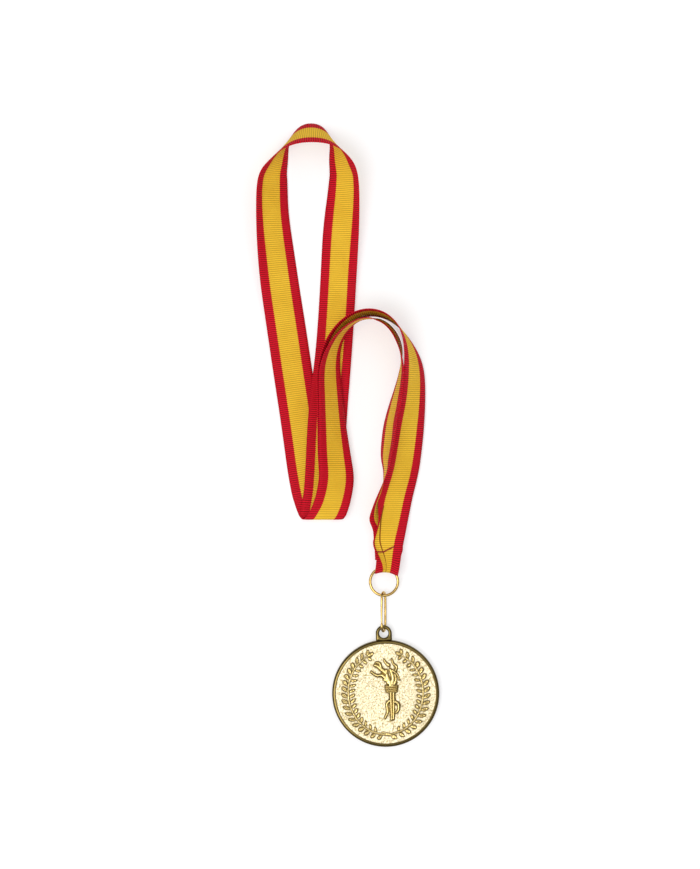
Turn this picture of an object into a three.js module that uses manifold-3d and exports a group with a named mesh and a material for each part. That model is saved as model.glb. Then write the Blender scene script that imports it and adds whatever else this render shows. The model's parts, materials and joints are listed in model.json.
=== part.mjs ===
// An award medal on a neck ribbon, laid out on a table.
// Millimetres. The origin is the middle of the disc's flat back, +Y runs from the disc towards the
// ribbon and +Z is up.
import * as THREE from 'three';
import { mergeVertices } from 'three/addons/utils/BufferGeometryUtils.js';
import Module from 'manifold-3d';

const wasm = await Module();
wasm.setup();

// ---- driving dimensions -------------------------------------------------------------------------

const DISC_RADIUS = 25;
const DISC_THICKNESS = 2.8;
const RIM_WIDTH = 1.7;
const RIM_HEIGHT = 0.5;
const EDGE_ROUND = 0.3;
const BACK_STOCK = 0.5;
const DISC_FACETS = 75;
const FIELD_RADIUS = DISC_RADIUS - RIM_WIDTH;
const FIELD_HEIGHT = DISC_THICKNESS - RIM_HEIGHT;
const RELIEF_HEIGHT = 0.4;
const RELIEF_ROOT = 0.3;

const LEAF_PAIRS = 11;
const LEAF_LENGTH = 4.6;
const LEAF_WIDTH = 1.9;
const LEAF_LEAN = 0.5;
const STEM_RADIUS = 17.6;
const STEM_START = -68;
const STEM_END = 64;

const TAB_WIDTH = 7.5;
const TAB_THICKNESS = 1.5;
const HOLE_RADIUS = 2.15;
const HOLE_DISTANCE = 28.05;
const DISC_TURN = THREE.MathUtils.degToRad(1.9);
const DISC_TILT = THREE.MathUtils.degToRad(1.5);
// The disc leans on its far edge, so the table is a little below the middle of its back.
const TABLE_HEIGHT = -DISC_RADIUS * Math.sin(DISC_TILT);

const WIRE_HEIGHT = 3.3;
const RING_X = -0.8;
const HOOK_X = -1.05;
const RING_WIRE = 0.65;
const RING_RADIUS = 6.45;
const RING_BOTTOM_Y = 45.6;
const RING_Y = RING_BOTTOM_Y + RING_RADIUS;
const RING_TOP_Y = RING_Y + RING_RADIUS;

const HOOK_WIRE = 0.55;
const ARM_WIRE = 0.5;
const HOOK_BEND = 2.7;
const HOOK_TAB_Y = 31.65;
const HOOK_RING_Y = 44.45;
const HOOK_NOSE_Y = 32.4;
const HOOK_LEAN = THREE.MathUtils.degToRad(-18);
const ARM_ROOT_Y = 43.9;
const ARM_TIP_Y = 32.9;

const RIBBON_WIDTH = 18;
const CUPPED_WIDTH = 16.8;
const RIBBON_THICKNESS = 0.5;
const SAMPLES_PER_STATION = 3;
const PAIR_OFFSET = 0.6;
const SMALL_ARCH = [-7, 150];
const SMALL_ARCH_HALF_WIDTH = 19.5;
const SMALL_ARCH_HEIGHT = 26;
const FOOT_BASE = 2.9;
const ARCH_BASE = 1.3;
const FOOT_RISE = 57;
const ARCH_SPREAD = 0.6;
const OUTER_TURN = 62;
const OUTER_RISE = 80;
const INNER_RISE = 87;
const TOP_ARCH = [-36, 240];
const TOP_ARCH_HALF_WIDTH = 15.8;
const TOP_ARCH_HEIGHT = 20.5;
const TOP_FOOT_RISE = 36;
const TOP_ARCH_RISE = 54;
const TURN_OVER = 1.4;
const FLANK_RISE = 8;
const SHOULDER = 0.7;
const ROLL_HEIGHT = 2.4;
const FOLD_Y = 83;
const PAIR_FOLD_X = -27.5;
const OUTER_FOLD_X = -30.5;
const INNER_FOLD_X = -31.5;
const OUTER_ROLL = 2.0;
const INNER_ROLL = 0.9;
const WRAP_RADIUS = 1.95;
const WRAP_WIDTH = 6.6;
const SEAM_X = 1.4;
const SEAM_Y = 66.5;
const SEAM_WIDTH = 11;
const SEAM_WAVE = 0.15;
const STITCHES = 7;
const THREAD_RADIUS = 0.16;
const NEEDLE_THREAD_HEIGHT = 3.55;
const BOBBIN_THREAD_HEIGHT = 0.2;

const GOLD = { color: 0xd9b45a, roughness: 0.35, metalness: 1 };
const STEEL_GOLD = { color: 0xc9a24a, roughness: 0.25, metalness: 1 };
const RIBBON_RED = { color: 0xc8192d, roughness: 0.85, metalness: 0 };
const THREAD_RED = { color: 0x5a1820, roughness: 0.8, metalness: 0 };

// ---- helpers ------------------------------------------------------------------------------------

function named(name, geometry, finish) {
  const mesh = new THREE.Mesh(geometry, new THREE.MeshStandardMaterial(finish));
  mesh.name = name;
  return mesh;
}

function toSolid(geometry) {
  const bare = geometry.clone();
  bare.deleteAttribute('normal');
  bare.deleteAttribute('uv');
  const merged = mergeVertices(bare, 1e-4);
  return new wasm.Manifold(new wasm.Mesh({
    numProp: 3,
    vertProperties: new Float32Array(merged.attributes.position.array),
    triVerts: new Uint32Array(merged.index.array),
  }));
}

function toGeometry(solid) {
  const mesh = solid.getMesh();
  const geometry = new THREE.BufferGeometry();
  geometry.setAttribute('position', new THREE.BufferAttribute(mesh.vertProperties, 3));
  geometry.setIndex(new THREE.BufferAttribute(mesh.triVerts, 1));
  geometry.computeVertexNormals();
  return geometry;
}

function slab(shape, bottom, height, curveSegments = 6) {
  const geometry = new THREE.ExtrudeGeometry(shape, { depth: height, bevelEnabled: false, curveSegments });
  return geometry.translate(0, 0, bottom);
}

function roundRod(radius, sides = 10) {
  const outline = new THREE.Shape();
  for (let i = 0; i < sides; i += 1) {
    const angle = (2 * Math.PI * i) / sides;
    const point = [radius * Math.cos(angle), radius * Math.sin(angle)];
    if (i === 0) outline.moveTo(...point);
    else outline.lineTo(...point);
  }
  outline.closePath();
  return outline;
}

function wireAlong(path, radius, steps, sides) {
  return new THREE.ExtrudeGeometry(roundRod(radius, sides), { steps, extrudePath: path, bevelEnabled: false });
}

// ---- medal --------------------------------------------------------------------------------------

// The blank is turned with spare stock on its back, and then faced off flat.
function discBlank() {
  const profile = [
    [0, -BACK_STOCK],
    [DISC_RADIUS - EDGE_ROUND, -BACK_STOCK],
    [DISC_RADIUS - EDGE_ROUND, 0],
    [DISC_RADIUS, EDGE_ROUND],
    [DISC_RADIUS, DISC_THICKNESS - EDGE_ROUND],
    [DISC_RADIUS - EDGE_ROUND, DISC_THICKNESS],
    [FIELD_RADIUS + EDGE_ROUND, DISC_THICKNESS],
    [FIELD_RADIUS, FIELD_HEIGHT],
    [0, FIELD_HEIGHT],
  ];
  const points = profile.map(([r, z]) => new THREE.Vector2(r, z));
  const turned = toSolid(new THREE.LatheGeometry(points, DISC_FACETS).rotateX(Math.PI / 2));
  const side = 3 * DISC_RADIUS;
  const facing = new THREE.BoxGeometry(side, side, side).translate(0, 0, -side / 2);
  return turned.subtract(toSolid(facing));
}

function tabShape() {
  const half = TAB_WIDTH / 2;
  const shape = new THREE.Shape();
  shape.moveTo(-half, FIELD_RADIUS + EDGE_ROUND);
  shape.lineTo(half, FIELD_RADIUS + EDGE_ROUND);
  shape.lineTo(half, HOLE_DISTANCE);
  shape.absarc(0, HOLE_DISTANCE, half, 0, Math.PI, false);
  shape.closePath();
  const hole = new THREE.Path();
  hole.absarc(0, HOLE_DISTANCE, HOLE_RADIUS, 0, 2 * Math.PI, true);
  shape.holes.push(hole);
  return shape;
}

function relief(shape) {
  return slab(shape, FIELD_HEIGHT - RELIEF_ROOT, RELIEF_ROOT + RELIEF_HEIGHT, 4);
}

// One almond leaf, from its root at the origin along +X.
function leafShape(length, width) {
  const leaf = new THREE.Shape();
  leaf.moveTo(0, 0);
  leaf.lineTo(length * 0.3, -width / 2);
  leaf.lineTo(length * 0.65, -width * 0.4);
  leaf.lineTo(length, 0);
  leaf.lineTo(length * 0.65, width * 0.4);
  leaf.lineTo(length * 0.3, width / 2);
  leaf.closePath();
  return leaf;
}

// Leaves stand in pairs along a round stem, tips up, on the right (side 1) or left (side -1).
function branchLeaves(side) {
  const leaves = [];
  for (let i = 0; i < LEAF_PAIRS; i += 1) {
    const share = i / (LEAF_PAIRS - 1);
    const angle = THREE.MathUtils.degToRad(THREE.MathUtils.lerp(STEM_START, STEM_END, share));
    for (const lean of [-LEAF_LEAN, LEAF_LEAN]) {
      const leaf = relief(leafShape(LEAF_LENGTH, LEAF_WIDTH));
      leaf.rotateZ(angle + Math.PI / 2 + lean);
      leaf.translate(STEM_RADIUS * Math.cos(angle), STEM_RADIUS * Math.sin(angle), 0);
      leaves.push(side > 0 ? toSolid(leaf) : toSolid(leaf).mirror([1, 0, 0]));
    }
  }
  return leaves;
}

function torchHandle() {
  const handle = new THREE.Shape();
  handle.moveTo(1.2, -12.2);
  handle.lineTo(3.2, -12.2);
  handle.lineTo(4.3, 0.2);
  handle.lineTo(1.5, 0.8);
  handle.closePath();
  return relief(handle);
}

function torchCollar() {
  const collar = new THREE.Shape();
  collar.moveTo(1.0, 0);
  collar.lineTo(5.2, -0.4);
  collar.lineTo(5.6, 2.6);
  collar.lineTo(0, 3.9);
  collar.closePath();
  return relief(collar);
}

function torchFlame() {
  const flame = new THREE.Shape();
  flame.moveTo(0.6, 3.2);
  flame.quadraticCurveTo(-6.5, 4.5, -6.7, 10.3);
  flame.quadraticCurveTo(-4.2, 8.5, -4.6, 12.5);
  flame.quadraticCurveTo(-2.6, 15.5, -1.2, 12.5);
  flame.lineTo(-0.4, 16.3);
  flame.quadraticCurveTo(1.4, 13.5, 1.8, 12.0);
  flame.lineTo(3.4, 16.3);
  flame.quadraticCurveTo(5.2, 12.0, 4.6, 9.0);
  flame.quadraticCurveTo(6.2, 8.5, 6.7, 5.4);
  flame.lineTo(5.2, 2.2);
  flame.closePath();
  return relief(flame);
}

function medalGeometry() {
  let solid = discBlank();
  const tabBottom = (DISC_THICKNESS - TAB_THICKNESS) / 2;
  solid = solid.add(toSolid(slab(tabShape(), tabBottom, TAB_THICKNESS, 14)));
  for (const piece of [torchHandle(), torchCollar(), torchFlame()]) {
    solid = solid.add(toSolid(piece));
  }
  for (const leaf of [...branchLeaves(1), ...branchLeaves(-1)]) {
    solid = solid.add(leaf);
  }
  return toGeometry(solid);
}

// The far edge of the disc rests on the table, and the tab end is lifted by the hook under it.
function medal() {
  const mesh = named('medal_disc', medalGeometry(), GOLD);
  mesh.rotation.z = DISC_TURN;
  const tilt = new THREE.Group();
  tilt.rotation.x = DISC_TILT;
  tilt.add(mesh);
  return tilt;
}

// ---- ring and hook ------------------------------------------------------------------------------

function ring() {
  const mesh = named('ring', new THREE.TorusGeometry(RING_RADIUS, RING_WIRE, 10, 44), STEEL_GOLD);
  mesh.position.set(RING_X, RING_Y, WIRE_HEIGHT);
  return mesh;
}

// The wire runs from the nose, round the tab end, along the low side and round the ring end.
function hookBodyPath() {
  const point = (y, z) => new THREE.Vector3(0, y, z);
  const bend = (centreY, from, to) => {
    const points = [];
    for (let i = 0; i <= 8; i += 1) {
      const angle = from + ((to - from) * i) / 8;
      points.push(point(centreY + HOOK_BEND * Math.cos(angle), HOOK_BEND * Math.sin(angle)));
    }
    return points;
  };
  const points = [
    point(HOOK_NOSE_Y, HOOK_BEND),
    ...bend(HOOK_TAB_Y, Math.PI / 2, (3 * Math.PI) / 2),
    ...bend(HOOK_RING_Y, -Math.PI / 2, Math.PI / 2),
  ];
  return new THREE.CatmullRomCurve3(points, false, 'centripetal');
}

function hookArmPath() {
  return new THREE.LineCurve3(
    new THREE.Vector3(0, ARM_ROOT_Y, HOOK_BEND),
    new THREE.Vector3(0, ARM_TIP_Y, HOOK_BEND),
  );
}

function hook() {
  const group = new THREE.Group();
  group.add(named('hook_body', wireAlong(hookBodyPath(), HOOK_WIRE, 44, 10), STEEL_GOLD));
  group.add(named('hook_spring_arm', wireAlong(hookArmPath(), ARM_WIRE, 4, 10), STEEL_GOLD));
  group.rotation.y = HOOK_LEAN;
  group.position.set(HOOK_X, 0, WIRE_HEIGHT);
  return group;
}

// ---- ribbon -------------------------------------------------------------------------------------
// A station is a middle point, a unit vector across the strip and a width. A rise is the angle of the
// strip's cross line above the table, with its low edge at height base.

function station(x, y, base, bearing, rise, width = RIBBON_WIDTH) {
  const turn = THREE.MathUtils.degToRad(bearing);
  const lift = THREE.MathUtils.degToRad(rise);
  return {
    middle: new THREE.Vector3(x, y, base + (width / 2) * Math.sin(Math.abs(lift))),
    across: new THREE.Vector3(
      Math.cos(turn) * Math.cos(lift),
      Math.sin(turn) * Math.cos(lift),
      Math.sin(lift),
    ),
    width,
  };
}

// Part of an ellipse in plan, between two angles in degrees. The callback gives base, bearing and rise
// at each angle, and how much further apart two strands that share the arch stand there. A shoulder
// below 1 makes the right half squarer.
function arch(centre, halfWidth, height, from, to, count, shape, shoulder = 1) {
  const stations = [];
  for (let i = 0; i <= count; i += 1) {
    const angle = THREE.MathUtils.degToRad(THREE.MathUtils.lerp(from, to, i / count));
    const { base, bearing, rise, spread = 0 } = shape(angle);
    const across = Math.cos(angle);
    const power = across > 0 ? shoulder : 1;
    const x = centre[0] + halfWidth * Math.sign(across) * Math.abs(across) ** power;
    const y = centre[1] + height * Math.abs(Math.sin(angle)) ** power;
    stations.push({ ...station(x, y, base, bearing, rise), spread });
  }
  return stations;
}

// Up the leg and over the first part of the small arch, two strands lie face to face.
function legStations() {
  return [
    station(-25, 89, 3.4, 180, 12, 17),
    station(-23, 100, 3.1, 180, 27, 17.5),
    station(-24, 112, 3, 180, 38),
    station(-25, 124, 2.9, 180, 47),
    station(-26, 139, 2.9, 180, 54),
  ];
}

function smallArch(to, count, leanTurn, topRise) {
  return arch(SMALL_ARCH, SMALL_ARCH_HALF_WIDTH, SMALL_ARCH_HEIGHT, 180, to, count, (angle) => ({
    base: THREE.MathUtils.lerp(ARCH_BASE, FOOT_BASE, THREE.MathUtils.clamp(-2 * Math.cos(angle), 0, 1)),
    bearing: 180 - leanTurn * Math.sin(angle),
    rise: THREE.MathUtils.lerp(FOOT_RISE, topRise, Math.sin(angle)),
    spread: ARCH_SPREAD * Math.sin(angle) ** 2,
  }));
}

// The outer strand lies down across the tail, with its left stripe curled up out of its width.
function outerStations() {
  const tail = [
    station(12, 137, 1.2, 180, 49),
    station(10, 122, 1.2, 180, 36),
    station(9, 113, 1.2, 180, 33, 17.5),
    station(8, 104, 1.2, 180, 29, 16.5),
    station(7, 94, 1.2, 180, 23, 14.5),
    station(5, 85, 1.3, 180, 20, 13.7),
    station(4, 77, 1.5, 180, 14, 13.7),
    station(2, 72, 1.9, 180, 5, 14),
  ];
  return offset([...legStations(), ...smallArch(0, 10, OUTER_TURN, OUTER_RISE), ...tail], 1);
}

// The inner strand stays on its edge down the tail: it leans left, then right over the outer strand,
// then left again, and lies down just before the ring.
function innerStations() {
  const flank = [
    station(-1, 173, 1.2, 180, 86),
    station(3, 169, 1.2, 180, 86),
    station(6, 164, 1.2, 180, 86),
    station(7, 158, 1, 180, 88),
    station(7, 152, 0.8, 180, 91),
  ];
  const tail = [
    station(6, 145, 0.6, 180, 96),
    station(4, 136, 0.5, 180, 102),
    station(2, 126, 0.5, 180, 108),
    station(1, 117, 0.5, 180, 110),
    station(0, 110, 0.5, 180, 105),
    station(0, 104, 0.5, 180, 98, 17),
    station(-1, 99, 0.5, 180, 90, 16),
    station(-2, 94, 0.5, 180, 80, 15),
    station(-4, 86, 0.5, 180, 68, 13),
    station(-3, 81, 0.5, 180, 40, 12),
    station(0, 76, 0.6, 180, 17, 12.5),
    station(1, 71, 0.8, 180, 0, 13),
  ];
  const paired = offset([...legStations(), ...smallArch(99, 5, 0, INNER_RISE)], -1);
  return [...paired, ...offset([...flank, ...tail], 0)];
}

// Moves a strand off its path: side 1 is the outer strand, side -1 the inner one, which faces the
// other way round.
function offset(stations, side) {
  return stations.map((here, i) => {
    const before = stations[Math.max(0, i - 1)].middle;
    const after = stations[Math.min(stations.length - 1, i + 1)].middle;
    const along = after.clone().sub(before).normalize();
    const outward = here.across.clone().cross(along).normalize();
    const away = side * (PAIR_OFFSET + (here.spread ?? 0));
    return {
      middle: here.middle.clone().addScaledVector(outward, away),
      across: here.across.clone().multiplyScalar(side > 0 ? -1 : 1),
      width: here.width,
    };
  });
}

// A soft half turn about a level axis along X, from the upper strand down to the lower one.
function roll(upperX, lowerX, axisY, radius, acrossX) {
  const stations = [];
  const count = 6;
  for (let i = 0; i <= count; i += 1) {
    const share = i / count;
    const angle = Math.PI * (0.5 - share);
    stations.push({
      middle: new THREE.Vector3(
        THREE.MathUtils.lerp(upperX, lowerX, share),
        axisY - radius * Math.cos(angle),
        ROLL_HEIGHT + radius * Math.sin(angle),
      ),
      across: new THREE.Vector3(acrossX, 0, 0),
      width: RIBBON_WIDTH,
    });
  }
  return stations;
}

// The high edge points out at the feet of the top arch and in over its top, with the change near the
// feet.
function highEdgeBearing(angle) {
  const fromTop = (2 * angle) / Math.PI - 1;
  const share = Math.abs(fromTop) ** TURN_OVER;
  return -90 - 90 * Math.sign(fromTop) * share;
}

function neckLoop() {
  const left = [
    station(-35, 95, 0.4, 190, 0),
    station(-40, 128, 0.4, 188, 2),
    station(-46, 168, 0.4, 188, 4),
    station(-50, 196, 0.4, 186, 15),
    station(-52, 222, 0.4, 184, 28),
  ];
  const rise = (angle) => {
    const onArch = THREE.MathUtils.lerp(TOP_FOOT_RISE, TOP_ARCH_RISE, Math.sqrt(Math.abs(Math.sin(angle))));
    return onArch + FLANK_RISE * Math.sin(2 * angle) ** 2;
  };
  const topArch = arch(TOP_ARCH, TOP_ARCH_HALF_WIDTH, TOP_ARCH_HEIGHT, 180, 0, 12, (angle) => ({
    base: 0.4,
    bearing: highEdgeBearing(angle),
    rise: rise(angle),
  }), SHOULDER);
  const right = [
    station(-21, 222, 0.4, 2, 16),
    station(-22, 194, 0.4, 358, 6, CUPPED_WIDTH),
    station(-24, 162, 1.0, 357, 1, CUPPED_WIDTH),
    station(-27, 130, 1.5, 355, 0),
    station(-29, 95, 1.5, 353, 0),
  ];
  return [...left, ...topArch, ...right];
}

// The end of the outer strand goes over the ring's wire, round it and back between the two strands.
function ringWrap() {
  const level = (x, y, z, width) => station(x, y, z, 0, 0, width);
  const stations = [level(SEAM_X, SEAM_Y, 2.75, 13), level(0, 62, 4.5, 9)];
  const count = 6;
  for (let i = 0; i <= count; i += 1) {
    const angle = Math.PI * (0.5 - i / count);
    const y = RING_TOP_Y - WRAP_RADIUS * Math.cos(angle);
    const z = WIRE_HEIGHT + WRAP_RADIUS * Math.sin(angle);
    stations.push(level(RING_X, y, z, WRAP_WIDTH));
  }
  stations.push(level(0, 62, 1.6, 9), level(1.2, 69, 1.65, 12));
  return stations;
}

function ribbonStations() {
  const inner = innerStations().reverse();
  const outer = outerStations();
  const innerEnd = [station(0.6, 62, 0.85, 180, 0, 11), station(SEAM_X, SEAM_Y, 0.9, 180, 0, 13)];
  return [
    ...innerEnd,
    ...inner,
    ...roll(PAIR_FOLD_X, INNER_FOLD_X, FOLD_Y, OUTER_ROLL, -1),
    ...neckLoop(),
    ...roll(PAIR_FOLD_X, OUTER_FOLD_X, FOLD_Y, INNER_ROLL, 1).reverse(),
    ...outer,
    ...ringWrap(),
  ];
}

function ribbonGeometry() {
  const stations = ribbonStations();
  const edge = (side) => stations.map((s) => s.middle.clone().addScaledVector(s.across, (side * s.width) / 2));
  const curves = [-1, 0, 1].map((side) => new THREE.CatmullRomCurve3(edge(side), false, 'centripetal'));
  const samples = SAMPLES_PER_STATION * (stations.length - 1);
  const columns = curves.length;
  const positions = [];
  for (let i = 0; i <= samples; i += 1) {
    const share = i / samples;
    const points = curves.map((curve) => curve.getPoint(share));
    const ahead = curves[1].getPoint(Math.min(1, share + 1e-3));
    const behind = curves[1].getPoint(Math.max(0, share - 1e-3));
    const across = points[2].clone().sub(points[0]);
    const face = across.cross(ahead.sub(behind)).normalize().multiplyScalar(RIBBON_THICKNESS / 2);
    for (const point of points) positions.push(...point.clone().add(face).toArray());
    for (const point of [...points].reverse()) positions.push(...point.clone().sub(face).toArray());
  }
  const around = 2 * columns;
  const index = [];
  // Both faces are split along the same diagonal, so that the strip keeps its thickness where it twists.
  for (let i = 0; i < samples; i += 1) {
    for (let j = 0; j < around; j += 1) {
      const a = i * around + j;
      const b = i * around + ((j + 1) % around);
      const under = j >= columns;
      if (under) index.push(a, b, b + around, a, b + around, a + around);
      else index.push(a, b, a + around, b, b + around, a + around);
    }
  }
  for (const [start, flip] of [[0, true], [samples * around, false]]) {
    for (const [a, b, c] of [[0, 1, 5], [1, 4, 5], [1, 2, 4], [2, 3, 4]]) {
      const face = [start + a, start + b, start + c];
      index.push(...(flip ? face.reverse() : face));
    }
  }
  const geometry = new THREE.BufferGeometry();
  geometry.setAttribute('position', new THREE.Float32BufferAttribute(positions, 3));
  geometry.setIndex(index);
  geometry.computeVertexNormals();
  return geometry;
}

// ---- sewing -------------------------------------------------------------------------------------

function seamThread(name, height) {
  const steps = 4 * STITCHES;
  const points = [];
  for (let i = 0; i <= steps; i += 1) {
    const share = i / steps;
    const x = SEAM_X + SEAM_WIDTH * (share - 0.5);
    const y = SEAM_Y + SEAM_WAVE * Math.sin(2 * Math.PI * STITCHES * share);
    points.push(new THREE.Vector3(x, y, height));
  }
  const path = new THREE.CatmullRomCurve3(points, false, 'centripetal');
  return named(name, wireAlong(path, THREAD_RADIUS, steps, 6), THREAD_RED);
}

// ---- assembly -----------------------------------------------------------------------------------

// Heights inside this group are above the table.
const onTable = new THREE.Group();
onTable.position.z = TABLE_HEIGHT;
onTable.add(ring());
onTable.add(hook());
onTable.add(named('ribbon', ribbonGeometry(), RIBBON_RED));
onTable.add(seamThread('needle_thread', NEEDLE_THREAD_HEIGHT));
onTable.add(seamThread('bobbin_thread', BOBBIN_THREAD_HEIGHT));

const assembly = new THREE.Group();
assembly.add(medal());
assembly.add(onTable);

export default assembly;
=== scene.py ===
"""A gold medal on a red and yellow grosgrain neck ribbon, laid out on a pale table.

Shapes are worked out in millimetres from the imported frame, and scaled to metres when a mesh is made.
"""
import json
import math

import bpy
import numpy as np
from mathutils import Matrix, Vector


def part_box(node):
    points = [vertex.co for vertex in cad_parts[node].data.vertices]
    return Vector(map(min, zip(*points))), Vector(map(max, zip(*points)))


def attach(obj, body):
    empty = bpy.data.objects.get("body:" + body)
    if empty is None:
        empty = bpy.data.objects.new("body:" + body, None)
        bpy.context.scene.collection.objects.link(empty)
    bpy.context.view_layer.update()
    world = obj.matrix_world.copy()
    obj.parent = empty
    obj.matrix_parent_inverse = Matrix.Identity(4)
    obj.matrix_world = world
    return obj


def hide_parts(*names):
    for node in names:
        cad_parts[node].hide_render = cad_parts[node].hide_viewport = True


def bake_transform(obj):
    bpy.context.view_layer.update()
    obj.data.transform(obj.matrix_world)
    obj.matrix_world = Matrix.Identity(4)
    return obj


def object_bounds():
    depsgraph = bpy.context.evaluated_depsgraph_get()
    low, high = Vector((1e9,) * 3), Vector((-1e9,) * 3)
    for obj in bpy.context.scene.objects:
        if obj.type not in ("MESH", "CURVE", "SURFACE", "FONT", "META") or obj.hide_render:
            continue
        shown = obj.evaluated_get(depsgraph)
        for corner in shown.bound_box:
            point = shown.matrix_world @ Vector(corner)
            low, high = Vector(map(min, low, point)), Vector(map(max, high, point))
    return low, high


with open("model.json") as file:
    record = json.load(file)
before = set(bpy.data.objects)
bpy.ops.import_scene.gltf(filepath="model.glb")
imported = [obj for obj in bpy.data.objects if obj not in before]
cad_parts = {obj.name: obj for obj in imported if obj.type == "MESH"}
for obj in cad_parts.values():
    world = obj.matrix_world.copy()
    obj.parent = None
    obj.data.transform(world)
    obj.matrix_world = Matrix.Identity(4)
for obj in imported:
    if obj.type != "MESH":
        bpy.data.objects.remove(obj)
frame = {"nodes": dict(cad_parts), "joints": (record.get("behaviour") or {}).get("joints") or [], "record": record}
cad_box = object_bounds()

MM = 0.001
SEED = 7

# Ribbon
RIBBON_WIDTH = 18.0
RIB_PITCH = 0.96
ROWS_PER_RIB = 4
WEB_THICKNESS = 0.27
RIB_DEPTH = 0.10
SELVEDGE_DEPTH = 0.10
SELVEDGE_THINNING = 0.45
YELLOW_SHARE = 0.52
RED_STRIPE = RIBBON_WIDTH * (1 - YELLOW_SHARE) / 2
YELLOW_STRIPE = RIBBON_WIDTH * YELLOW_SHARE
STRIPE_TOOTH = 0.026
WARP_YARNS = 36
UNCREASED = 9.0
ACROSS = np.concatenate([
    np.linspace(-1, -YELLOW_SHARE, 4),
    np.linspace(-YELLOW_SHARE, YELLOW_SHARE, 6)[1:],
    np.linspace(YELLOW_SHARE, 1, 4)[1:],
])
COLUMNS = len(ACROSS)
UP = np.array([0.0, 0.0, 1.0])

# The ribbon's tail. Pairs are levels above the ring's top, where a change starts and where it is
# complete. BEFORE_TURN is a pair of lengths along the strip, from where it turns round the ring.
TAIL_TOP = 80.0
TAIL_SHAPING = (64, 56)
TAIL_RIGHT = 6.4
TAIL_SLANT = 0.2
FOLD_LEVEL = -1.5
RIGHT_EDGE_BENDS = (30, 52)
STRIPE_CURL = math.radians(22)
STRIPE_CURLS = (58, 45)
EDGE_ON_SHARE = 0.85
EDGE_ON_HEIGHT = 0.3
EDGE_ON_STARTS = (33, 20)
EDGE_ON_ENDS = (-1, 8)
GATHERED = (13, FOLD_LEVEL)
RED_GATHER = 0.14
YELLOW_GATHER = 0.64
CREASE_AT_RING = -0.6
CREASE_CROSSES = (2, 27)
CREASE_TOP = 29.0
CREASE_DEEPENS = (28, 12)
CREASE_DEPTH = 0.9
GATHER_DEPTH = 1.2
FOLD_BOWS = (8, 0.5)
FOLD_BOW = 0.5
FOLD_BOW_REACH = 0.9
BEFORE_TURN = (0.5, -2.5)

# The ribbon's small arch, with levels as in the tail, and its neck loop, with places in Y
SMALL_ARCH_X = -8.0
ARCH_SIDE_X = (SMALL_ARCH_X, SMALL_ARCH_X + 5)
LEAN_GROWS = (90, 101)
FLANK_LEAN = 1.5
FLANK_SHIFT = 0.7
OVERLAP_STARTS = (66, 76)
OVERLAP_ENDS = (106, 96)
OVERLAP = 1.1
SHOULDER_CURL = math.radians(52)
SHOULDER_CURLS_Y = (177, 237)
SHOULDER_FLATTENS_Y = (252, 240)
CUPPING = 0.25
FOLDS_TOP_Y = (100, 118)
MIDDLE_SMOOTHING = 3.5
TWIST_SMOOTHING = 5.0

# Sewing
SEAM_ENDS = (-0.53, 0.56)
SEAM_LEVELS = (7.1, 7.2, 9.8)
STITCHES = 6
SEAM_SEARCH = 15
THREAD_RADIUS = 0.3
THREAD_LIFT = 0.2
STITCH_LIFT = 0.34

# Wire
WIRE_SIDES = 10
RING_STEPS, HOOK_STEPS, GATE_STEPS = 160, 180, 60
GATE_BULGE = 0.1
GATE_TAPER = 0.35

# Medal
RIM_WIDTH = 1.7
DISC_THICKNESS = 2.8
FIELD_HEIGHT = 2.3
FIELD_CELLS = 230
GRAIN_HEIGHT = 0.034
STEM_RADIUS = 17.4
LEAF_HEIGHT = 0.6
OUTER_LEAF = {"lean": -0.85, "length": 3.7, "width": 1.8}
INNER_LEAF = {"lean": 1.1, "length": 3.1, "width": 1.3}
TAB_WIDTH = 7.5
TAB_THICKNESS = 1.5
HOLE_RADIUS = 2.15
HOLE_DISTANCE = 28.05

# Studio
SOFT_LIGHT = (0.70, 0.70, 0.71, 1)
DIM_WALL = (0.07, 0.06, 0.05, 1)
BRIGHT_CEILING = (1.0, 1.0, 1.0, 1)
DIM_UP_TO, BRIGHT_FROM = 0.5, 0.90
TABLE_GLOW = 0.48
TABLE_REACH = 3000.0
TABLE_GAP = 0.03
KEY_PLACE, KEY_SIZE, KEY_POWER = (-330, -260, 900), 620, 4.4
FILL_PLACE, FILL_SIZE, FILL_POWER = (300, 320, 1000), 900, 1.7
CAMERA_HEIGHT = 1250.0
CAMERA_SHIFT = 0.9
VIEW_HEIGHT = 405.0


# ---- helpers ------------------------------------------------------------------------------------

def smoothstep(start, end, value):
    """A smooth step from 0 at start to 1 at end, which may lie above or below start."""
    share = np.clip((np.asarray(value, float) - start) / (end - start), 0, 1)
    return share * share * (3 - 2 * share)


def unit(vectors):
    """Vectors along the last axis, scaled to length 1."""
    return vectors / np.maximum(np.linalg.norm(vectors, axis=-1, keepdims=True), 1e-12)


def box_mm(node):
    """The two corners of a node's CAD box, in millimetres."""
    low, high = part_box(node)
    return np.array(low) / MM, np.array(high) / MM


def make_object(name, points_mm, faces, material):
    """A smooth shaded mesh object with one material."""
    mesh = bpy.data.meshes.new(name)
    mesh.from_pydata((np.asarray(points_mm) * MM).tolist(), [], [list(map(int, f)) for f in faces])
    mesh.validate()
    mesh.shade_smooth()
    piece = bpy.data.objects.new(name, mesh)
    bpy.context.scene.collection.objects.link(piece)
    mesh.materials.append(material)
    return piece


def ring_faces(rows, around, closed=False):
    """Quads between successive rings of points, with the first and last ring joined when closed."""
    faces = []
    for i in range(rows if closed else rows - 1):
        following = (i + 1) % rows
        for j in range(around):
            k = (j + 1) % around
            faces.append((i * around + j, following * around + j, following * around + k, i * around + k))
    return faces


def add_attribute(piece, name, values):
    """Stores a number for each vertex, for the material to read."""
    attribute = piece.data.attributes.new(name, "FLOAT", "POINT")
    attribute.data.foreach_set("value", np.asarray(values, np.float32).ravel())


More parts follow.
